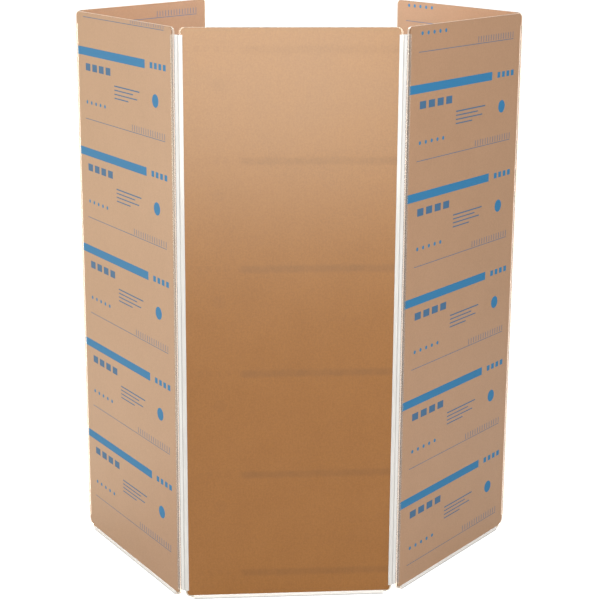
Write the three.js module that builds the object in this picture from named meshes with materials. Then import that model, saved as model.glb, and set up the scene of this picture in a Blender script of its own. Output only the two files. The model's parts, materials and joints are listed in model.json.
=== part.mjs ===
// Five-panel folding drum shield, standing in a C, in millimetres.
// +Z is up, +X runs along the centre panel and +Y points into the drummer's space.
// The origin is the middle of the centre panel's foot.

import * as THREE from 'three';

// Panel sheet: clear acrylic, the same in all five panels
const sheetWidth = 609.6;
const shieldHeight = 1676.4;
const sheetThickness = 6;
const topCornerRadius = 14;
const footCornerRadius = 20;
const cableCornerRadius = 35;
const cornerSteps = 10;

// Masking paper on both faces of every sheet
const paperThickness = 0.2;
const paperGap = 0.25;
const paperSideInset = 4.5;
const paperTopInset = 0.8;
const paperFootGap = 0.4;

// Clear strip that each panel stands on
const stripBase = 4;
const stripLip = 7;
const stripWall = 1.8;
const stripFit = 0.3;
const stripEdgeBreak = 0.6;
const stripEndGap = 5;

// Clear hinge: a channel on each panel edge and a spine between two flex lines
const channelLip = 9.5;
const channelWall = 1.4;
const channelFit = 0.3;
const channelEdgeBreak = 0.5;
const hingeFootGap = 3;
const frontHingeTopGap = 6;
const rearHingeTopGap = 23;
const creaseReach = 1.6;
const spineWidth = 11;
const webThickness = 2.4;
const webTip = 0.4;
const creaseClearance = 0.15;

// Folds as the shield stands, each split evenly over the joint's two flex lines
const frontLeftFoldDegrees = 61;
const frontRightFoldDegrees = 47.5;
const rearLeftFoldDegrees = 69;
const rearRightFoldDegrees = 72.5;

// Places that follow from the sizes above
const sheetFoot = stripBase + stripFit;
const paperFaceOffset = sheetThickness / 2 + paperGap;
const paperFoot = stripBase + stripFit + stripLip + paperFootGap;
const channelInside = paperFaceOffset + paperThickness + channelFit;
const channelOutside = channelInside + channelWall;
const channelBack = channelFit + channelWall;
const creaseFromSheet = channelBack + creaseReach;
const tipFromCrease = creaseClearance + webTip / 2;
const shoulderFromCrease = creaseClearance + webThickness / 2;

const acrylic = new THREE.MeshStandardMaterial({
  color: 0xe8eef0,
  roughness: 0.08,
  metalness: 0,
  transparent: true,
  opacity: 0.4,
});
const kraftPaper = new THREE.MeshStandardMaterial({ color: 0xc4a084, roughness: 0.85, metalness: 0 });
const clearVinyl = new THREE.MeshStandardMaterial({
  color: 0xe6e3e2,
  roughness: 0.25,
  metalness: 0,
  transparent: true,
  opacity: 0.6,
});

function namedMesh(name, geometry, material) {
  const mesh = new THREE.Mesh(geometry, material);
  mesh.name = name;
  return mesh;
}

function outline(points) {
  return new THREE.Shape(points.map(([x, y]) => new THREE.Vector2(x, y)));
}

// An upright plate with four rounded corners. The radii run from the foot's left corner round to the top's left one.
function roundedPlate(left, right, foot, top, radii) {
  const [footLeft, footRight, topRight, topLeft] = radii;
  const shape = new THREE.Shape();
  shape.moveTo(left + footLeft, foot);
  shape.lineTo(right - footRight, foot);
  shape.absarc(right - footRight, foot + footRight, footRight, -Math.PI / 2, 0, false);
  shape.lineTo(right, top - topRight);
  shape.absarc(right - topRight, top - topRight, topRight, 0, Math.PI / 2, false);
  shape.lineTo(left + topLeft, top);
  shape.absarc(left + topLeft, top - topLeft, topLeft, Math.PI / 2, Math.PI, false);
  shape.lineTo(left, foot + footLeft);
  shape.absarc(left + footLeft, foot + footLeft, footLeft, Math.PI, (3 * Math.PI) / 2, false);
  return shape;
}

// A plate drawn in X and height, given its thickness along Y from yNear towards +Y
function uprightPlate(shape, thickness, yNear) {
  const geometry = new THREE.ExtrudeGeometry(shape, {
    depth: thickness,
    bevelEnabled: false,
    curveSegments: cornerSteps,
  });
  geometry.rotateX(Math.PI / 2);
  geometry.translate(0, yNear + thickness, 0);
  return geometry;
}

function sheetGeometry(corners) {
  const half = sheetWidth / 2;
  const radii = [corners.left, corners.right, topCornerRadius, topCornerRadius];
  const shape = roundedPlate(-half, half, sheetFoot, shieldHeight, radii);
  return uprightPlate(shape, sheetThickness, -sheetThickness / 2);
}

// The rounded foot corner of the masking paper, which is cut off level above the strip.
// The corner keeps the sheet's centre, and its start is the angle below that centre where the cut meets it.
function paperCorner(sheetCornerRadius, centreX) {
  const radius = sheetCornerRadius - paperSideInset;
  const centreZ = sheetFoot + sheetCornerRadius;
  const drop = Math.min(Math.max(centreZ - paperFoot, 0), radius);
  return { centreX, centreZ, radius, start: Math.asin(drop / radius) };
}

// Masking paper follows the sheet's outline a little inside it and ends above the bottom strip
function maskingGeometry(corners, yNear) {
  const half = sheetWidth / 2 - paperSideInset;
  const top = shieldHeight - paperTopInset;
  const topRadius = topCornerRadius - paperTopInset;
  const leftCorner = paperCorner(corners.left, corners.left - sheetWidth / 2);
  const rightCorner = paperCorner(corners.right, sheetWidth / 2 - corners.right);
  const shape = new THREE.Shape();
  shape.moveTo(leftCorner.centreX - leftCorner.radius * Math.cos(leftCorner.start), paperFoot);
  shape.lineTo(rightCorner.centreX + rightCorner.radius * Math.cos(rightCorner.start), paperFoot);
  if (rightCorner.start > 0) {
    shape.absarc(rightCorner.centreX, rightCorner.centreZ, rightCorner.radius, -rightCorner.start, 0, false);
  }
  shape.lineTo(half, top - topRadius);
  shape.absarc(half - topRadius, top - topRadius, topRadius, 0, Math.PI / 2, false);
  shape.lineTo(-half + topRadius, top);
  shape.absarc(-half + topRadius, top - topRadius, topRadius, Math.PI / 2, Math.PI, false);
  if (leftCorner.start > 0) {
    const end = Math.PI + leftCorner.start;
    shape.absarc(leftCorner.centreX, leftCorner.centreZ, leftCorner.radius, Math.PI, end, false);
  }
  return uprightPlate(shape, paperThickness, yNear);
}

// A U that opens upwards, run along the straight part of the panel's foot
function stripGeometry(corners) {
  const inside = sheetThickness / 2 + stripFit;
  const outside = inside + stripWall;
  const top = sheetFoot + stripLip;
  const section = outline([
    [-outside + stripEdgeBreak, 0],
    [outside - stripEdgeBreak, 0],
    [outside, stripEdgeBreak],
    [outside, top - stripEdgeBreak],
    [outside - stripEdgeBreak, top],
    [inside, top],
    [inside, stripBase],
    [-inside, stripBase],
    [-inside, top],
    [-outside + stripEdgeBreak, top],
    [-outside, top - stripEdgeBreak],
    [-outside, stripEdgeBreak],
  ]);
  const start = -sheetWidth / 2 + corners.left + stripEndGap;
  const length = sheetWidth - corners.left - corners.right - 2 * stripEndGap;
  const geometry = new THREE.ExtrudeGeometry(section, { depth: length, bevelEnabled: false });
  geometry.rotateX(Math.PI / 2);
  geometry.rotateZ(Math.PI / 2);
  geometry.translate(start, 0, 0);
  return geometry;
}

// Heights between which a joint's hinge runs, clear of the sheets' rounded corners
function hingeSpan(cornerRadius, topGap) {
  const foot = sheetFoot + cornerRadius + hingeFootGap;
  const top = shieldHeight - topCornerRadius - topGap;
  return { foot, length: top - foot };
}

function uprightRun(section, span) {
  const geometry = new THREE.ExtrudeGeometry(section, { depth: span.length, bevelEnabled: false });
  geometry.translate(0, 0, span.foot);
  return geometry;
}

// A channel that grips a sheet's right edge, with its web tapering to the flex line. X is zero at the edge.
function channelSection() {
  const upper = [
    [creaseFromSheet - tipFromCrease, webTip / 2],
    [creaseFromSheet - shoulderFromCrease, webThickness / 2],
    [channelBack, webThickness / 2],
    [channelBack, channelOutside - channelEdgeBreak],
    [channelBack - channelEdgeBreak, channelOutside],
    [-channelLip + channelEdgeBreak, channelOutside],
    [-channelLip, channelOutside - channelEdgeBreak],
    [-channelLip, channelInside],
    [channelFit, channelInside],
  ];
  const lower = upper.map(([x, y]) => [x, -y]).reverse();
  return outline([...upper, ...lower]);
}

// The spine between the two flex lines, tapering towards both. X is zero at the first one.
function spineSection() {
  const upper = [
    [spineWidth - tipFromCrease, webTip / 2],
    [spineWidth - shoulderFromCrease, webThickness / 2],
    [shoulderFromCrease, webThickness / 2],
    [tipFromCrease, webTip / 2],
  ];
  const lower = upper.map(([x, y]) => [x, -y]).reverse();
  return outline([...upper, ...lower]);
}

// side is 1 for the sheet's right edge and -1 for its left one
function hingeChannel(name, side, span) {
  const mesh = namedMesh(name, uprightRun(channelSection(), span), clearVinyl);
  mesh.position.x = (side * sheetWidth) / 2;
  mesh.rotation.z = side > 0 ? 0 : Math.PI;
  return mesh;
}

// The pieces that belong to one panel, in its own frame: X across it, Z up, the origin under its middle
function panel(name, corners) {
  const group = new THREE.Group();
  const outerPaper = -paperFaceOffset - paperThickness;
  group.add(namedMesh(`${name}_sheet`, sheetGeometry(corners), acrylic));
  group.add(namedMesh(`${name}_outer_masking`, maskingGeometry(corners, outerPaper), kraftPaper));
  group.add(namedMesh(`${name}_inner_masking`, maskingGeometry(corners, paperFaceOffset), kraftPaper));
  group.add(namedMesh(`${name}_bottom_strip`, stripGeometry(corners), clearVinyl));
  return group;
}

// Hangs one panel on the panel before it. The fold towards +Y is split evenly over the two flex lines.
function joinPanel(previous, next, side, foldDegrees, span, names) {
  const halfFold = (side * THREE.MathUtils.degToRad(foldDegrees)) / 2;
  const fromMiddle = side * (sheetWidth / 2 + creaseFromSheet);

  const firstCrease = new THREE.Group();
  firstCrease.position.x = fromMiddle;
  firstCrease.rotation.z = halfFold;

  const spine = namedMesh(names.spine, uprightRun(spineSection(), span), clearVinyl);
  spine.rotation.z = side > 0 ? 0 : Math.PI;

  const secondCrease = new THREE.Group();
  secondCrease.position.x = side * spineWidth;
  secondCrease.rotation.z = halfFold;

  next.position.x = fromMiddle;
  next.add(hingeChannel(names.nearChannel, -side, span));
  previous.add(hingeChannel(names.farChannel, side, span), firstCrease);
  firstCrease.add(spine, secondCrease);
  secondCrease.add(next);
}

const centre = panel('centre', { left: footCornerRadius, right: footCornerRadius });
const left = panel('left', { left: cableCornerRadius, right: footCornerRadius });
const right = panel('right', { left: footCornerRadius, right: cableCornerRadius });
const rearLeft = panel('rear_left', { left: footCornerRadius, right: cableCornerRadius });
const rearRight = panel('rear_right', { left: cableCornerRadius, right: footCornerRadius });

const frontSpan = hingeSpan(footCornerRadius, frontHingeTopGap);
const rearSpan = hingeSpan(cableCornerRadius, rearHingeTopGap);

joinPanel(centre, left, -1, frontLeftFoldDegrees, frontSpan, {
  farChannel: 'centre_left_hinge_channel',
  spine: 'front_left_hinge_spine',
  nearChannel: 'left_front_hinge_channel',
});
joinPanel(centre, right, 1, frontRightFoldDegrees, frontSpan, {
  farChannel: 'centre_right_hinge_channel',
  spine: 'front_right_hinge_spine',
  nearChannel: 'right_front_hinge_channel',
});
joinPanel(left, rearLeft, -1, rearLeftFoldDegrees, rearSpan, {
  farChannel: 'left_rear_hinge_channel',
  spine: 'rear_left_hinge_spine',
  nearChannel: 'rear_left_hinge_channel',
});
joinPanel(right, rearRight, 1, rearRightFoldDegrees, rearSpan, {
  farChannel: 'right_rear_hinge_channel',
  spine: 'rear_right_hinge_spine',
  nearChannel: 'rear_right_hinge_channel',
});

const shield = new THREE.Group();
shield.add(centre);

export default shield;
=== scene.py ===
# %% [markdown]
# The drum shield
# Five tall clear panels stand in a C round a drummer. They are new, so both faces of every panel still wear
# brown masking paper. The packed CAD model is the frame: its solids give every place and size, and this
# script gives them their finish, adds the thin flexible lines of the hinges, and sets up the studio.

# %% Load the frame
import json
import math

import bmesh
import bpy
from mathutils import Matrix, Vector


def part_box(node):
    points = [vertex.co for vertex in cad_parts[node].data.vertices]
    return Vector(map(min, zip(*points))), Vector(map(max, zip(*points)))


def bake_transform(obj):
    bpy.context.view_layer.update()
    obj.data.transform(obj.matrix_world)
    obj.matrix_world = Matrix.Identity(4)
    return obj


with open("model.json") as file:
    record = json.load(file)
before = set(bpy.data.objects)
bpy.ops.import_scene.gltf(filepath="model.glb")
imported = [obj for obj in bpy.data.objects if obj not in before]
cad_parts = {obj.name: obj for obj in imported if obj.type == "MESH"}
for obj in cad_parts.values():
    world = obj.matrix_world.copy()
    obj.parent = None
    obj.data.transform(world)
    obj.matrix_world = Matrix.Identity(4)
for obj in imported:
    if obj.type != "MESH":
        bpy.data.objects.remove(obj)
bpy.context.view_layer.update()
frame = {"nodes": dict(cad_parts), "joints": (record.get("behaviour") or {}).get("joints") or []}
nodes = frame["nodes"]

# %% [markdown]
# Where the panels stand
# Prints and grain have to follow each panel, and the panels stand at different angles. The script walks from
# the centre panel outwards, as the hinges do, and keeps the plan place and the turn of each panel. One could
# also measure the meshes, but a walk from a few real sizes is easier to read and to change.

# %% Walk from panel to panel
SHEET_WIDTH = 0.6096
CREASE_FROM_SHEET = 0.0033
SPINE_WIDTH = 0.011
FOLDS = {"left": 61.0, "right": 47.5, "rear_left": 69.0, "rear_right": 72.5}
NEXT_PANELS = [
    ("centre", "left", -1, "front_left"),
    ("centre", "right", 1, "front_right"),
    ("left", "rear_left", -1, "rear_left"),
    ("right", "rear_right", 1, "rear_right"),
]


def heading(angle):
    return Vector((math.cos(angle), math.sin(angle), 0.0))


panels = {"centre": (Vector((0.0, 0.0, 0.0)), 0.0)}
creases = {}
for previous, following, side, joint in NEXT_PANELS:
    middle, angle = panels[previous]
    half_fold = side * math.radians(FOLDS[following]) / 2
    reach = side * (SHEET_WIDTH / 2 + CREASE_FROM_SHEET)
    first = middle + heading(angle) * reach
    second = first + heading(angle + half_fold) * side * SPINE_WIDTH
    turned = angle + 2 * half_fold
    panels[following] = (second + heading(turned) * reach, turned)
    creases[joint] = [
        (first, side * heading(angle), side * heading(angle + half_fold)),
        (second, side * heading(angle + half_fold), side * heading(turned)),
    ]
for joint in frame["joints"]:
    fold_name, which = joint["name"].split("_crease")[0].rsplit("_", 1)
    walked = creases[fold_name][0 if which == "first" else 1][0]
    off = (walked - Vector(joint["pos_m"])).length
    print(f"{joint['name']}: {off * 1000:.4f} mm from the CAD joint")

# %% [markdown]
# Writing node trees
# A procedural finish is arithmetic on the place of a surface point. Blender's Math and Mix nodes do that, and
# this small helper writes them in one line each, so that a recipe reads from top to bottom.


# %% A helper for node arithmetic
class Tree:
    def __init__(self, tree):
        self.tree = tree

    def add(self, kind, **values):
        node = self.tree.nodes.new(kind)
        for key, value in values.items():
            setattr(node, key, value)
        return node

    def feed(self, socket, value):
        if isinstance(value, bpy.types.NodeSocket):
            self.tree.links.new(value, socket)
        else:
            socket.default_value = value

    def math(self, operation, first, second=0.0, clamp=False):
        node = self.add("ShaderNodeMath", operation=operation, use_clamp=clamp)
        self.feed(node.inputs[0], first)
        self.feed(node.inputs[1], second)
        return node.outputs[0]

    def vectors(self, operation, first, second=(0.0, 0.0, 0.0)):
        node = self.add("ShaderNodeVectorMath", operation=operation)
        self.feed(node.inputs[0], first)
        self.feed(node.inputs[1], second)
        return node.outputs

    def split(self, vector):
        node = self.add("ShaderNodeSeparateXYZ")
        self.feed(node.inputs[0], vector)
        return node.outputs

    def both(self, first, second):
        return self.math("MULTIPLY", first, second)

    def within(self, value, low, high):
        return self.both(self.math("GREATER_THAN", value, low), self.math("LESS_THAN", value, high))

    def either(self, first, second):
        return self.math("MAXIMUM", first, second)

    def mix(self, factor, first, second):
        node = self.add("ShaderNodeMix", data_type="RGBA", blend_type="MIX")
        self.feed(node.inputs[0], factor)
        self.feed(node.inputs[6], first)
        self.feed(node.inputs[7], second)
        return node.outputs[2]

    def mix_value(self, factor, first, second):
        node = self.add("ShaderNodeMix", data_type="FLOAT")
        for index, item in ((0, factor), (2, first), (3, second)):
            self.feed(node.inputs[index], item)
        return node.outputs[0]

    def remap(self, value, low, high, to_low, to_high):
        node = self.add("ShaderNodeMapRange", clamp=True)
        for index, item in enumerate((value, low, high, to_low, to_high)):
            self.feed(node.inputs[index], item)
        return node.outputs[0]

    def noise(self, vector, scale, detail=3.0, roughness=0.55):
        node = self.add("ShaderNodeTexNoise")
        self.feed(node.inputs["Vector"], vector)
        self.feed(node.inputs["Scale"], scale)
        node.inputs["Detail"].default_value = detail
        node.inputs["Roughness"].default_value = roughness
        return node.outputs["Fac"]

    def mapped(self, vector, location=(0, 0, 0), rotation=(0, 0, 0), scale=(1, 1, 1)):
        node = self.add("ShaderNodeMapping")
        self.feed(node.inputs["Vector"], vector)
        node.inputs["Location"].default_value = location
        node.inputs["Rotation"].default_value = rotation
        node.inputs["Scale"].default_value = scale
        return node.outputs[0]

    def bump(self, surface, height, strength, distance):
        node = self.add("ShaderNodeBump")
        node.inputs["Strength"].default_value = strength
        node.inputs["Distance"].default_value = distance
        self.feed(node.inputs["Height"], height)
        self.feed(surface["Normal"], node.outputs[0])


def node_group(name, inputs, outputs):
    group = bpy.data.node_groups.new(name, "ShaderNodeTree")
    for label, kind, value in inputs:
        socket = group.interface.new_socket(label, in_out="INPUT", socket_type=kind)
        if value is not None:
            socket.default_value = value
    for label, kind in outputs:
        group.interface.new_socket(label, in_out="OUTPUT", socket_type=kind)
    tree = Tree(group)
    return group, tree, tree.add("NodeGroupInput").outputs, tree.add("NodeGroupOutput").inputs


def material(name):
    made = bpy.data.materials.new(name)
    made.use_nodes = True
    return made, Tree(made.node_tree), made.node_tree.nodes["Principled BSDF"].inputs


def place_group(tree, group, values):
    node = tree.add("ShaderNodeGroup", node_tree=group)
    for label, value in values.items():
        tree.feed(node.inputs[label], value)
    return node.outputs


FLOAT, COLOUR, VECTOR = "NodeSocketFloat", "NodeSocketColor", "NodeSocketVector"
print("node helpers:", [name for name in vars(Tree) if not name.startswith("_")])

# %% [markdown]
# Kraft paper stock
# Masking paper is thin brown kraft: mottled where the pulp lies thicker, crossed by fine fibres along the
# roll, and slightly shiny from the calender rolls. A photographed texture would repeat and stretch, so the
# paper is made from noise at three sizes in real metres. Noise seldom comes near 0 or 1, so the recipe
# stretches the part between. The group is used by all ten paper sheets.

# %% Group: paper stock
paper_stock, tree, given, made = node_group(
    "Paper stock",
    [
        ("Vector", VECTOR, None),
        ("Light", COLOUR, (0.40, 0.20, 0.09, 1)),
        ("Dark", COLOUR, (0.30, 0.14, 0.05, 1)),
        ("Shift", FLOAT, 0.0),
    ],
    [("Color", COLOUR), ("Roughness", FLOAT), ("Height", FLOAT)],
)
CLOUDS_PER_METRE = 9.0
FLECKS_PER_METRE = 220.0
FIBRES_PER_METRE = 700.0
FIBRE_STRETCH = (1.0, 1.0, 0.08)
WIDE_NOISE = (0.2, 0.8)
COMMON_NOISE = (0.3, 0.7)
MIDDLE_NOISE = (0.35, 0.65)
CLOUD_TONES = (0.35, 0.65)
FLECK_DEPTH = 0.33
FIBRE_DEPTH = 0.15
SMOOTHEST = 0.275
ROUGHEST = 0.295
FIBRE_BUMP = 0.1
CLOUD_BUMP = 0.9
shift = tree.add("ShaderNodeCombineXYZ")
tree.feed(shift.inputs["Y"], given["Shift"])
place = tree.vectors("ADD", given["Vector"], shift.outputs[0])["Vector"]
clouds = tree.noise(place, CLOUDS_PER_METRE, detail=4.0)
flecks = tree.noise(place, FLECKS_PER_METRE, detail=2.0)
fibres = tree.noise(tree.mapped(place, scale=FIBRE_STRETCH), FIBRES_PER_METRE, detail=2.0)
cloudy = tree.remap(clouds, *COMMON_NOISE, *CLOUD_TONES)
speckle = tree.remap(flecks, *MIDDLE_NOISE, -FLECK_DEPTH, FLECK_DEPTH)
lines = tree.remap(fibres, *MIDDLE_NOISE, -FIBRE_DEPTH, FIBRE_DEPTH)
tone = tree.math("ADD", cloudy, tree.math("ADD", speckle, lines), clamp=True)
tree.feed(made["Color"], tree.mix(tone, given["Dark"], given["Light"]))
tree.feed(made["Roughness"], tree.remap(clouds, *WIDE_NOISE, SMOOTHEST, ROUGHEST))
raised_fibres = tree.math("MULTIPLY", fibres, FIBRE_BUMP)
raised_clouds = tree.math("MULTIPLY", clouds, CLOUD_BUMP)
tree.feed(made["Height"], tree.math("ADD", raised_fibres, raised_clouds))
print("paper stock nodes:", len(paper_stock.nodes))

# %% [markdown]
# The print on the paper
# One face of each panel carries a print that repeats down the sheet: a solid stripe from the left edge, with
# small marks below it. Here the marks are plain dots, bars, ticks, squares and a disc, laid out for this
# model. The group works on two numbers, how far across and how far below the stripe's top, so one recipe
# serves every panel and each panel only chooses where its first stripe lies. A soft-edged copy of the stripe
# goes out as well, for the faces where it only shows through.

# %% Group: repeating print
REPEAT = 0.3075
PAST_THE_EDGE = -0.01
STRIPE_LENGTH = 0.445
STRIPE_HEIGHT = 0.025
FOOT_MARGIN = 0.042
SOFT_EDGE = 0.009
print_marks, tree, given, made = node_group(
    "Repeating print",
    [("Across", FLOAT, 0.0), ("Height", FLOAT, 0.0), ("First Stripe Top", FLOAT, 1.5)],
    [("Stripe", FLOAT), ("Solid", FLOAT), ("Marks", FLOAT), ("Soft Stripe", FLOAT)],
)
across = given["Across"]
below_first = tree.math("SUBTRACT", given["First Stripe Top"], given["Height"])
below = tree.math("FLOORED_MODULO", below_first, REPEAT)
above_foot = tree.math("GREATER_THAN", given["Height"], FOOT_MARGIN)
stripe_length = tree.within(across, PAST_THE_EDGE, STRIPE_LENGTH)
stripe = tree.both(stripe_length, tree.within(below, 0.0, STRIPE_HEIGHT))
soft_top = tree.remap(below, 0.0, SOFT_EDGE, 0.0, 1.0)
soft_bottom = tree.remap(below, STRIPE_HEIGHT - SOFT_EDGE / 2, STRIPE_HEIGHT + SOFT_EDGE / 2, 1.0, 0.0)
soft_end = tree.remap(across, STRIPE_LENGTH - SOFT_EDGE, STRIPE_LENGTH + SOFT_EDGE, 1.0, 0.0)
soft_stripe = tree.both(tree.both(soft_top, soft_bottom), soft_end)


def every(start, pitch):
    return tree.math("FLOORED_MODULO", tree.math("SUBTRACT", across, start), pitch)


def row_of(start, end, pitch, size, top, bottom):
    span = tree.both(tree.within(across, start, end), tree.within(below, top, bottom))
    return tree.both(span, tree.math("LESS_THAN", every(start, pitch), size))


def bar(start, length, top, thickness):
    return tree.both(tree.within(across, start, start + length), tree.within(below, top, top + thickness))


def spot(sideways, middle_across, middle_below, radius):
    off_x = tree.math("SUBTRACT", sideways, middle_across)
    off_z = tree.math("SUBTRACT", below, middle_below)
    spread = tree.math("ADD", tree.math("POWER", off_x, 2.0), tree.math("POWER", off_z, 2.0))
    return tree.math("LESS_THAN", spread, radius**2)


DOTS_START = 0.05
DOTS_END = 0.20
DOT_PITCH = 0.03
BARS_START = 0.25
LOWER_BARS = ((0.12, 0.107), (0.145, 0.119), (0.09, 0.131))
dot = spot(every(DOTS_START, DOT_PITCH), middle_across=DOT_PITCH / 2, middle_below=0.166, radius=0.0055)
dots = tree.both(dot, tree.within(across, DOTS_START, DOTS_END))
disc = spot(across, middle_across=0.505, middle_below=0.110, radius=0.019)
squares = row_of(start=0.475, end=0.575, pitch=0.026, size=0.016, top=0.004, bottom=0.021)
ticks = row_of(start=0.36, end=0.56, pitch=0.014, size=0.0026, top=0.196, bottom=0.214)
blocks = row_of(start=0.06, end=0.24, pitch=0.045, size=0.032, top=0.048, bottom=0.070)
rule = bar(start=0.05, length=0.51, top=0.2165, thickness=0.0018)
bars = bar(BARS_START, length=0.16, top=0.095, thickness=0.0038)
for length, top in LOWER_BARS:
    bars = tree.either(bars, bar(BARS_START, length, top, thickness=0.0034))
solid = tree.either(disc, tree.either(dots, squares))
fine = tree.either(tree.either(ticks, rule), tree.either(bars, blocks))
for label, shape in (("Stripe", stripe), ("Solid", solid), ("Marks", fine), ("Soft Stripe", soft_stripe)):
    tree.feed(made[label], tree.both(shape, above_foot))
print("print nodes:", len(print_marks.nodes))

# %% [markdown]
# Ten sheets of masking paper
# Each paper sheet turns the row frame into its own panel's frame, so that the print and the fibres lie square
# on it. The print is on the outer face of the left and right panels and on the inner face of the others. On a
# bare face the stripes of the far side still show through, as a soft darker shade. It is uneven, because the
# paper doesn't touch the sheet equally well everywhere, and it is painted fainter towards the top, where the
# sheen is strong.

# %% Materials: masking paper
PRINTED_FACE = {
    "centre": "inner", "left": "outer", "right": "outer", "rear_left": "inner", "rear_right": "inner",
}
FIRST_STRIPE_TOP = {
    "centre": 1.631, "left": 1.573, "right": 1.513, "rear_left": 1.540, "rear_right": 1.520,
}
PLAIN_STOCK = ((0.262, 0.104, 0.019, 1), (0.214, 0.081, 0.012, 1))
PRINTED_STOCK = ((0.385, 0.221, 0.133, 1), (0.335, 0.190, 0.112, 1))
STRIPE_BLUE = (0.0, 0.150, 0.345, 1)
MARK_BLUE = (0.006, 0.105, 0.240, 1)
INK_OF_MARKS = 0.93
INK_OF_SOLID = 0.985
INK_ROUGHNESS = 0.7
SHADED_STOCK = (0.119, 0.046, 0.009, 1)
SHADOW_OF_STRIPE = 0.31
FAINTEST_SHADOW = SHADOW_OF_STRIPE * 0.4
FAINTER_FROM = 1.15
FAINTEST_FROM = 1.60
SHADOW_OF_SOLID = 0.08
ROUGHER_IN_SHADOW = 0.12
TOUCHES_PER_METRE = 25.0
LOOSEST_TOUCH = 0.65
SHIFT_PER_SHEET = 3.7
PAPER_SPECULAR = 0.7


def panel_place(tree, name):
    middle, angle = panels[name]
    to_panel = Matrix.Rotation(-angle, 3, "Z") @ -middle
    coordinates = tree.add("ShaderNodeTexCoord").outputs["Object"]
    return tree.mapped(coordinates, location=to_panel, rotation=(0, 0, -angle))


def paper_material(name, face, number):
    made, tree, surface = material(f"Masking paper {name} {face}")
    place = panel_place(tree, name)
    split = tree.split(place)
    printed = PRINTED_FACE[name] == face
    direction = 1.0 if PRINTED_FACE[name] == "outer" else -1.0
    across = tree.math("ADD", tree.math("MULTIPLY", split["X"], direction), SHEET_WIDTH / 2)
    light, dark = PRINTED_STOCK if printed else PLAIN_STOCK
    stock = place_group(tree, paper_stock, {
        "Vector": place, "Light": light, "Dark": dark, "Shift": SHIFT_PER_SHEET * number,
    })
    marks = place_group(tree, print_marks, {
        "Across": across, "Height": split["Z"], "First Stripe Top": FIRST_STRIPE_TOP[name],
    })
    if printed:
        inked = tree.math("MULTIPLY", marks["Marks"], INK_OF_MARKS)
        colour = tree.mix(inked, stock["Color"], MARK_BLUE)
        solid = tree.math("MULTIPLY", tree.either(marks["Stripe"], marks["Solid"]), INK_OF_SOLID)
        colour = tree.mix(solid, colour, STRIPE_BLUE)
        roughness = tree.mix_value(tree.either(inked, solid), stock["Roughness"], INK_ROUGHNESS)
    else:
        touches = tree.noise(place, TOUCHES_PER_METRE)
        pressed = tree.remap(touches, *MIDDLE_NOISE, LOOSEST_TOUCH, 1.0)
        # Painted sheen: the show-through is made fainter towards the top, where the sheen washes it out.
        fainter = tree.remap(split["Z"], FAINTER_FROM, FAINTEST_FROM, SHADOW_OF_STRIPE, FAINTEST_SHADOW)
        stripe_shade = tree.both(tree.both(marks["Soft Stripe"], pressed), fainter)
        shade = tree.either(stripe_shade, tree.math("MULTIPLY", marks["Solid"], SHADOW_OF_SOLID))
        colour = tree.mix(shade, stock["Color"], SHADED_STOCK)
        rougher = tree.math("MULTIPLY", shade, ROUGHER_IN_SHADOW)
        roughness = tree.math("ADD", stock["Roughness"], rougher)
    tree.feed(surface["Base Color"], colour)
    tree.feed(surface["Roughness"], roughness)
    surface["Specular IOR Level"].default_value = PAPER_SPECULAR
    tree.bump(surface, stock["Height"], strength=0.25, distance=0.0004)
    return made


def finish(node_name, made):
    for slot in nodes[node_name].material_slots:
        slot.link = "OBJECT"
        slot.material = made


for number, name in enumerate(panels):
    for face in ("outer", "inner"):
        finish(f"{name}_{face}_masking", paper_material(name, face, number * 2 + (face == "inner")))
print("paper materials:", len([m for m in bpy.data.materials if m.name.startswith("Masking")]))

# %% [markdown]
# Handling haze and extrusion streaks
# Clear plastic is never perfectly clean. Fingers and floors leave a soft haze, stronger near the foot, and an
# extruded profile shows fine streaks along its length. The haze makes the surface rougher, so it shows in the
# reflections and not as paint. The streaks make it a little milkier and slightly uneven. Both are groups,
# because the acrylic and every vinyl use them.

# %% Groups: haze and streaks
haze, tree, given, made = node_group(
    "Handling haze",
    [("Vector", VECTOR, None), ("Clean", FLOAT, 0.05), ("Hazy", FLOAT, 0.3), ("Foot", FLOAT, 0.1)],
    [("Roughness", FLOAT)],
)
PATCHES_PER_METRE = 14.0
HANDLED_NOISE = (0.45, 0.7)
FOOT_REACH = 0.12
hands = tree.noise(given["Vector"], PATCHES_PER_METRE, detail=4.0, roughness=0.6)
patches = tree.remap(hands, *HANDLED_NOISE, 0.0, 1.0)
low = tree.remap(tree.split(given["Vector"])["Z"], 0.0, FOOT_REACH, 1.0, 0.0)
foot = tree.math("MULTIPLY", low, given["Foot"])
mask = tree.math("ADD", patches, foot, clamp=True)
rougher = tree.math("MULTIPLY", mask, tree.math("SUBTRACT", given["Hazy"], given["Clean"]))
tree.feed(made["Roughness"], tree.math("ADD", given["Clean"], rougher))

streaks, tree, given, made = node_group(
    "Extrusion streaks",
    [("Vector", VECTOR, None), ("Along", VECTOR, (1.0, 1.0, 0.02)), ("Scale", FLOAT, 900.0)],
    [("Mask", FLOAT), ("Height", FLOAT)],
)
STREAKY_NOISE = (0.4, 0.65)
stretched = tree.vectors("MULTIPLY", given["Vector"], given["Along"])["Vector"]
drawn = tree.noise(stretched, given["Scale"])
tree.feed(made["Mask"], tree.remap(drawn, *STREAKY_NOISE, 0.0, 1.0))
tree.feed(made["Height"], drawn)
print("haze nodes:", len(haze.nodes), "streak nodes:", len(streaks.nodes))

# %% [markdown]
# Light in the edges
# A clear sheet between two papers carries light inside it and lets it out at its edges, so they look bright.
# To follow that light the render would need very many bounces. This group finds the faces that don't look the
# way the sheet faces, and the material lets them glow a little instead. The lips of the clear hinge channels
# get the same glow, but not where they point towards the flex line.

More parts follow.
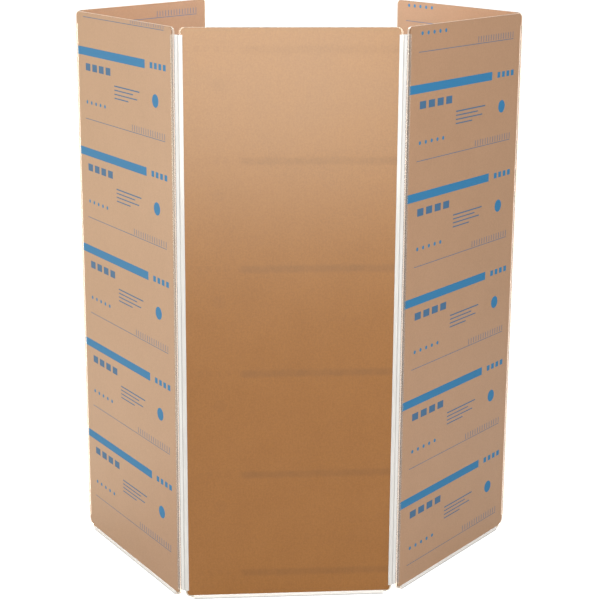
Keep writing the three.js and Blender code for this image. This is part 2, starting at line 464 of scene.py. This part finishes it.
# %% Group: edge light
edge_light, tree, given, made = node_group(
    "Edge light",
    [
        ("Normal", VECTOR, None),
        ("Facing", VECTOR, (0.0, 1.0, 0.0)),
        ("Away", VECTOR, (0.0, 0.0, 0.0)),
        ("Light", COLOUR, (1.0, 1.0, 1.0, 1)),
    ],
    [("Color", COLOUR)],
)
ON_EDGE_BELOW = 0.3
ON_FACE_ABOVE = 0.8
TO_THE_FLEX_LINE = -0.3
aligned = tree.vectors("DOT_PRODUCT", given["Normal"], given["Facing"])["Value"]
turned_away = tree.vectors("DOT_PRODUCT", given["Normal"], given["Away"])["Value"]
on_edge = tree.remap(tree.math("ABSOLUTE", aligned), ON_EDGE_BELOW, ON_FACE_ABOVE, 1.0, 0.0)
on_edge = tree.both(on_edge, tree.math("GREATER_THAN", turned_away, TO_THE_FLEX_LINE))
tree.feed(made["Color"], tree.mix(on_edge, (0, 0, 0, 1), given["Light"]))
print("edge light nodes:", len(edge_light.nodes))

# %% [markdown]
# Clear acrylic and clear vinyl
# The sheets are cast acrylic, water clear with polished edges. The hinges and foot strips are flexible vinyl,
# milky because of its plasticiser. Both are glass to Blender, with a plain refractive index. Full
# transmission makes clear acrylic, and less of it leaves a share of plain colour, which makes the vinyl
# milky. The spines are thick and pale. The thin webs beside them are painted dark grey, a painted shade
# where the creases fall in shadow, and the strips get a painted grey shade at the floor for their contact
# shadow. The two channels on the centre panel are cloudier than the other six.

# %% Materials: acrylic and vinyl
UP_THE_HINGE = (1.0, 1.0, 0.015)
ALONG_THE_FOOT = (0.05, 0.05, 1.0)
NO_DIRECTION = (1.0, 1.0, 1.0)
VINYL_INDEX = 1.45
ACRYLIC_INDEX = 1.49
HAZE_AT_FOOT = 0.1
EDGE_PEACH = (1.0, 0.80, 0.64, 1)
EDGE_STRENGTH = 0.75
# Painted contact shade: the foot strips turn grey just above the floor, where their shadow falls.
CONTACT_SHADE_BELOW = 0.0014
CONTACT_SHADE_ABOVE = 0.0036
CONTACT_SHADE_STRENGTH = 0.7
CONTACT_SHADE_GREY = (0.32, 0.30, 0.34, 1)


def facing_of(panel):
    angle = panels[panel][1]
    return (-math.sin(angle), math.cos(angle), 0.0)


def clear_material(
    name, tint, milky, clean, hazy, through, along=UP_THE_HINGE, index=VINYL_INDEX,
    facing=None, away=(0.0, 0.0, 0.0), with_contact_shade=False,
):
    made, tree, surface = material(name)
    coordinates = tree.add("ShaderNodeTexCoord").outputs
    place = coordinates["Object"]
    if facing is not None:
        lit = place_group(tree, edge_light, {
            "Normal": coordinates["Normal"], "Facing": facing, "Away": away, "Light": EDGE_PEACH,
        })
        tree.feed(surface["Emission Color"], lit["Color"])
        surface["Emission Strength"].default_value = EDGE_STRENGTH
    hazed = place_group(tree, haze, {"Vector": place, "Clean": clean, "Hazy": hazy, "Foot": HAZE_AT_FOOT})
    drawn = place_group(tree, streaks, {"Vector": place, "Along": along})
    colour = tree.mix(drawn["Mask"], tint, milky)
    # Painted shade: the strips are greyed towards the floor for their contact shadow.
    if with_contact_shade:
        painted_contact_shade = tree.remap(tree.split(place)["Z"], CONTACT_SHADE_BELOW, CONTACT_SHADE_ABOVE, CONTACT_SHADE_STRENGTH, 0.0)
        colour = tree.mix(painted_contact_shade, colour, CONTACT_SHADE_GREY)
    tree.feed(surface["Base Color"], colour)
    tree.feed(surface["Roughness"], hazed["Roughness"])
    surface["Transmission Weight"].default_value = through
    surface["IOR"].default_value = index
    tree.bump(surface, drawn["Height"], strength=0.12, distance=0.0002)
    return made


CLEAR_CHANNELS = {
    "left_front_hinge_channel": ("left", -1),
    "left_rear_hinge_channel": ("left", 1),
    "right_front_hinge_channel": ("right", 1),
    "right_rear_hinge_channel": ("right", -1),
    "rear_left_hinge_channel": ("rear_left", -1),
    "rear_right_hinge_channel": ("rear_right", 1),
}
cloudy_vinyl = clear_material(
    "Cloudy hinge vinyl", tint=(0.88, 0.875, 0.885, 1), milky=(0.76, 0.75, 0.78, 1),
    clean=0.10, hazy=0.20, through=0.45,
)
spine_vinyl = clear_material(
    "Milky spine vinyl", tint=(0.80, 0.80, 0.815, 1), milky=(0.68, 0.67, 0.70, 1),
    clean=0.12, hazy=0.24, through=0.25,
)
# The thin webs are painted dark grey: a painted shade for the creases, which fall in shadow.
shaded_web_vinyl = clear_material(
    "Shaded flex vinyl", tint=(0.28, 0.27, 0.29, 1), milky=(0.22, 0.21, 0.24, 1),
    clean=0.12, hazy=0.24, through=0.20,
)
strip_vinyl = clear_material(
    "Milky strip vinyl", tint=(0.96, 0.95, 0.955, 1), milky=(0.89, 0.87, 0.89, 1),
    clean=0.12, hazy=0.24, through=0.30, along=ALONG_THE_FOOT, with_contact_shade=True,
)
for panel in panels:
    finish(f"{panel}_sheet", clear_material(
        f"Cast acrylic {panel}", tint=(0.96, 0.975, 0.97, 1), milky=(0.93, 0.95, 0.95, 1),
        clean=0.03, hazy=0.12, through=1.0, along=NO_DIRECTION, index=ACRYLIC_INDEX,
        facing=facing_of(panel),
    ))
for channel, (panel, end) in CLEAR_CHANNELS.items():
    finish(channel, clear_material(
        f"Clear vinyl {channel}", tint=(0.98, 0.97, 0.975, 1), milky=(0.95, 0.935, 0.95, 1),
        clean=0.04, hazy=0.10, through=0.94,
        facing=facing_of(panel), away=tuple(heading(panels[panel][1]) * end),
    ))
for name in nodes:
    if name.endswith("_strip"):
        finish(name, strip_vinyl)
    elif name.endswith("_spine"):
        finish(name, spine_vinyl)
    elif name.endswith("_channel") and name not in CLEAR_CHANNELS:
        finish(name, cloudy_vinyl)
for name, piece in nodes.items():
    print(name, "wears", piece.material_slots[0].material.name)

# %% [markdown]
# Broken edges
# A cut and flame-polished acrylic edge and an extruded lip are never knife sharp. A Bevel modifier rounds the
# edges of the CAD solids without changing their meshes, and catches a fine line of light.

# %% Modifiers: bevels
SHEET_EDGE = 0.0006
VINYL_EDGE = 0.0003
EDGE_SEGMENTS = 2
SHARPER_THAN = math.radians(40)


def round_edges(node_name, width):
    bevel = nodes[node_name].modifiers.new("Broken edges", "BEVEL")
    bevel.width = width
    bevel.segments = EDGE_SEGMENTS
    bevel.limit_method = "ANGLE"
    bevel.angle_limit = SHARPER_THAN
    bevel.harden_normals = True


for name in nodes:
    if name.endswith("_sheet"):
        round_edges(name, SHEET_EDGE)
    elif name.endswith("_strip") or "hinge" in name:
        round_edges(name, VINYL_EDGE)
print("bevels:", sum(len(o.modifiers) for o in nodes.values()))

# %% [markdown] The flex lines of the hinges Each hinge bends along two thin lines, one on each side of its
# spine. The CAD solids taper to these lines and stop just short of them, so that they can turn freely.

# %% Pieces: flex webs
FLEX_REACH = 0.0011
FLEX_THICKNESS = 0.0005
FLEX_STEPS = 8
LENGTH_STEPS = 24
BODIES = {
    "front_left": ("centre_panel", "front_left_spine", "left_panel"),
    "front_right": ("centre_panel", "front_right_spine", "right_panel"),
    "rear_left": ("left_panel", "rear_left_spine", "rear_left_panel"),
    "rear_right": ("right_panel", "rear_right_spine", "rear_right_panel"),
}


def flex_profile(before, after):
    points = []
    for step in range(FLEX_STEPS + 1):
        t = step / FLEX_STEPS
        start, end = -FLEX_REACH * before, FLEX_REACH * after
        point = start * (1 - t) ** 2 + end * t**2
        along = (before * (1 - t) + after * t).normalized()
        points.append((point, Vector((-along.y, along.x, 0.0))))
    return points


def flex_web(name, crease, before, after, foot, top):
    mesh = bmesh.new()
    rows = []
    for level in range(LENGTH_STEPS + 1):
        z = foot + (top - foot) * level / LENGTH_STEPS
        ring = []
        for offset in (FLEX_THICKNESS / 2, -FLEX_THICKNESS / 2):
            line = [mesh.verts.new(crease + p + n * offset + Vector((0, 0, z)))
                    for p, n in flex_profile(before, after)]
            ring += line if offset > 0 else line[::-1]
        rows.append(ring)
    count = len(rows[0])
    for lower, upper in zip(rows, rows[1:]):
        for i in range(count):
            j = (i + 1) % count
            mesh.faces.new((lower[i], lower[j], upper[j], upper[i]))
    mesh.faces.new(rows[0][::-1])
    mesh.faces.new(rows[-1])
    bmesh.ops.recalc_face_normals(mesh, faces=mesh.faces)
    data = bpy.data.meshes.new(name)
    mesh.to_mesh(data)
    mesh.free()
    piece = bpy.data.objects.new(name, data)
    bpy.context.scene.collection.objects.link(piece)
    data.materials.append(shaded_web_vinyl)
    return piece


for joint, (first_line, second_line) in creases.items():
    foot, top = (corner.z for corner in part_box(f"{joint}_hinge_spine"))
    middle = Vector((0, 0, (foot + top) / 2))
    near, spine, far = BODIES[joint]
    for label, (crease, before, after), bodies in (
        ("first", first_line, (near, spine)),
        ("second", second_line, (spine, far)),
    ):
        web = flex_web(f"{joint}_{label}_flex_web", crease, before, after, foot, top)
        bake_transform(web)
        print(web.name, len(web.data.vertices), "vertices")

# %% [markdown]
# The floor
# The shield stands on a white sweep that has lamps of its own, so the floor is as bright as the background. A
# glow on the floor does the same with less work. The Light Path node lets the camera see it white, while the
# papers get a weaker and warmer share of it, stronger at the back, where the slanted panels mirror the floor.

# %% Floor
FLOOR_HALF = 40.0
FLOOR_DROP = 0.0005
CORNERS = ((-1, -1), (1, -1), (1, 1), (-1, 1))
FLOOR_GREYS = ((0.24, 0.24, 0.24, 1), (0.26, 0.26, 0.26, 1))
FLOOR_CLOUDS_PER_METRE = 3.0
FLOOR_ROUGHNESS = 0.9
GLOW_SEEN = 0.86
WHITENS_BETWEEN = (1.5, 6.0)
GLOW_ON_PIECES = 0.30
GLOW_IN_GLOSS_FRONT = 0.0
GLOW_IN_GLOSS_BACK = 0.35
FRONT_TO_BACK = (-1.5, 0.5)
GLOW_FAR_LEFT = 0.5
FAR_BETWEEN = (0.2, 0.8)
LEFT_BETWEEN = (-0.8, -0.3)
DIFFUSE_WARMTH = (1.0, 0.94, 0.81, 1)
GLOSS_WARMTH = (1.0, 0.82, 0.55, 1)
WHITE = (1, 1, 1, 1)
floor_mesh = bpy.data.meshes.new("Studio floor")
corners = [(x * FLOOR_HALF, y * FLOOR_HALF, -FLOOR_DROP) for x, y in CORNERS]
floor_mesh.from_pydata(corners, [], [(0, 1, 2, 3)])
floor = bpy.data.objects.new("Studio floor", floor_mesh)
bpy.context.scene.collection.objects.link(floor)
made, tree, surface = material("White sweep")
place = tree.add("ShaderNodeTexCoord").outputs["Object"]
split = tree.split(place)
soft_grain = tree.remap(tree.noise(place, FLOOR_CLOUDS_PER_METRE), *COMMON_NOISE, 0.0, 1.0)
tree.feed(surface["Base Color"], tree.mix(soft_grain, *FLOOR_GREYS))
surface["Roughness"].default_value = FLOOR_ROUGHNESS
distance = tree.vectors("LENGTH", place)["Value"]
ray = tree.add("ShaderNodeLightPath").outputs
far = tree.remap(split["Y"], *FAR_BETWEEN, 0.0, GLOW_FAR_LEFT)
far_left = tree.both(far, tree.remap(split["X"], *LEFT_BETWEEN, 1.0, 0.0))
in_gloss = tree.remap(split["Y"], *FRONT_TO_BACK, GLOW_IN_GLOSS_FRONT, GLOW_IN_GLOSS_BACK)
in_gloss = tree.math("ADD", in_gloss, far_left)
glow_seen = tree.remap(distance, *WHITENS_BETWEEN, GLOW_SEEN, 1.0)
glow = tree.mix_value(ray["Is Camera Ray"], GLOW_ON_PIECES, glow_seen)
glow = tree.mix_value(ray["Is Glossy Ray"], glow, in_gloss)
tree.feed(surface["Emission Strength"], glow)
warm = tree.mix(ray["Is Glossy Ray"], DIFFUSE_WARMTH, GLOSS_WARMTH)
tree.feed(surface["Emission Color"], tree.mix(ray["Is Camera Ray"], warm, WHITE))
floor_mesh.materials.append(made)
print("floor:", 2 * FLOOR_HALF, "m wide,", len(made.node_tree.nodes), "nodes")

# %% [markdown]
# Surroundings and lamps
# The world is plain white to the camera and dimmer for the light that falls on the pieces, so the background
# stays clean and the papers keep their shading. A big softbox behind the camera gives the upper half of the
# papers their sheen, and one above the front adds to it. Two softboxes at the left brighten the left panel, a
# weak one at the right fills the shade there, one overhead lights the tops, and a small cool one over the
# back reaches the upper ends of the rear panels. Each line of the table gives a softbox's place, the point
# that it faces, the length of its sides, its watts and its tint.

# %% World and lamps
DIFFUSE_LEVEL = 0.52
GLOSS_LEVEL = 0.25
PLAIN = (1.0, 1.0, 1.0)
WARM = (1.0, 0.98, 0.83)
WARMER = (1.0, 0.92, 0.74)
COOL = (0.85, 1.00, 1.15)
SOFTBOXES = {
    "Key": ((0.1, -5.0, 1.65), (0.0, 0.0, 1.2), 3.0, 169.0, WARM),
    "Front top": ((0.0, -1.7, 3.5), (0.0, 0.0, 1.5), 2.0, 42.0, PLAIN),
    "Left": ((-4.2, 1.9, 1.4), (-0.4, 0.4, 0.9), 3.0, 14.0, WARMER),
    "Low left": ((-3.8, 0.3, 0.6), (-0.45, 0.3, 0.5), 2.4, 46.0, WARM),
    "Rear top": ((0.1, 0.75, 2.3), (0.1, 0.95, 1.6), 0.5, 5.5, COOL),
    "Right": ((4.6, 1.6, 1.5), (0.5, 0.3, 0.9), 3.0, 2.0, PLAIN),
    "Overhead": ((0.0, 0.4, 4.4), (0.0, 0.4, 0.0), 3.0, 340.0, PLAIN),
}
scene = bpy.context.scene
scene.view_settings.view_transform = "Standard"
world = bpy.data.worlds.new("White studio")
scene.world = world
world.use_nodes = True
tree = Tree(world.node_tree)
backdrop = world.node_tree.nodes["Background"]
ray = tree.add("ShaderNodeLightPath").outputs
seen = tree.either(ray["Is Camera Ray"], ray["Is Transmission Ray"])
level = tree.remap(ray["Is Glossy Ray"], 0.0, 1.0, DIFFUSE_LEVEL, GLOSS_LEVEL)
tree.feed(backdrop.inputs["Strength"], tree.either(seen, level))
backdrop.inputs["Color"].default_value = WHITE
for name, (place, target, side, watts, tint) in SOFTBOXES.items():
    lamp = bpy.data.lights.new(f"{name} softbox", "AREA")
    lamp.color = tint
    lamp.shape = "SQUARE"
    lamp.size = side
    lamp.energy = watts
    box = bpy.data.objects.new(lamp.name, lamp)
    box.location = place
    box.rotation_euler = (Vector(target) - Vector(place)).to_track_quat("-Z", "Y").to_euler()
    scene.collection.objects.link(box)
print("lamps:", len(bpy.data.lights))

# %% [markdown]
# The camera
# The place, turn and focal length come from a perspective fit of the five panels' corners. The picture is a
# square, and the shift lowers the middle of the view a little, as in the photograph.

# %% Camera
CAMERA_PLACE = Vector((-0.281, -4.078, 2.053))
YAW, PITCH, ROLL = (math.radians(a) for a in (4.313, 13.335, 0.353))
FOCAL_LENGTH = 90.03
SENSOR_WIDTH = 36.0
SHIFT_DOWN = -0.1
forward = Vector((math.sin(YAW) * math.cos(PITCH), math.cos(YAW) * math.cos(PITCH), -math.sin(PITCH)))
right = Vector((math.cos(YAW), -math.sin(YAW), 0.0))
up = right.cross(forward)
rolled_right = math.cos(ROLL) * right + math.sin(ROLL) * up
rolled_up = -math.sin(ROLL) * right + math.cos(ROLL) * up
turn = Matrix((rolled_right, rolled_up, -forward)).transposed()
lens = bpy.data.cameras.new("Camera")
lens.sensor_width = SENSOR_WIDTH
lens.lens = FOCAL_LENGTH
lens.shift_y = SHIFT_DOWN
lens.clip_start, lens.clip_end = 0.1, 200.0
camera = bpy.data.objects.new("Camera", lens)
camera.matrix_world = Matrix.Translation(CAMERA_PLACE) @ turn.to_4x4()
scene.collection.objects.link(camera)
scene.camera = camera
print("camera at", tuple(round(v, 3) for v in camera.location))

# %% [markdown] The size The shield's real size is the box round the CAD solids. Webs and rounded edges
# have to stay inside it, or the part would no longer fit where the CAD says it does.

# %% Update the scene
bpy.context.view_layer.update()
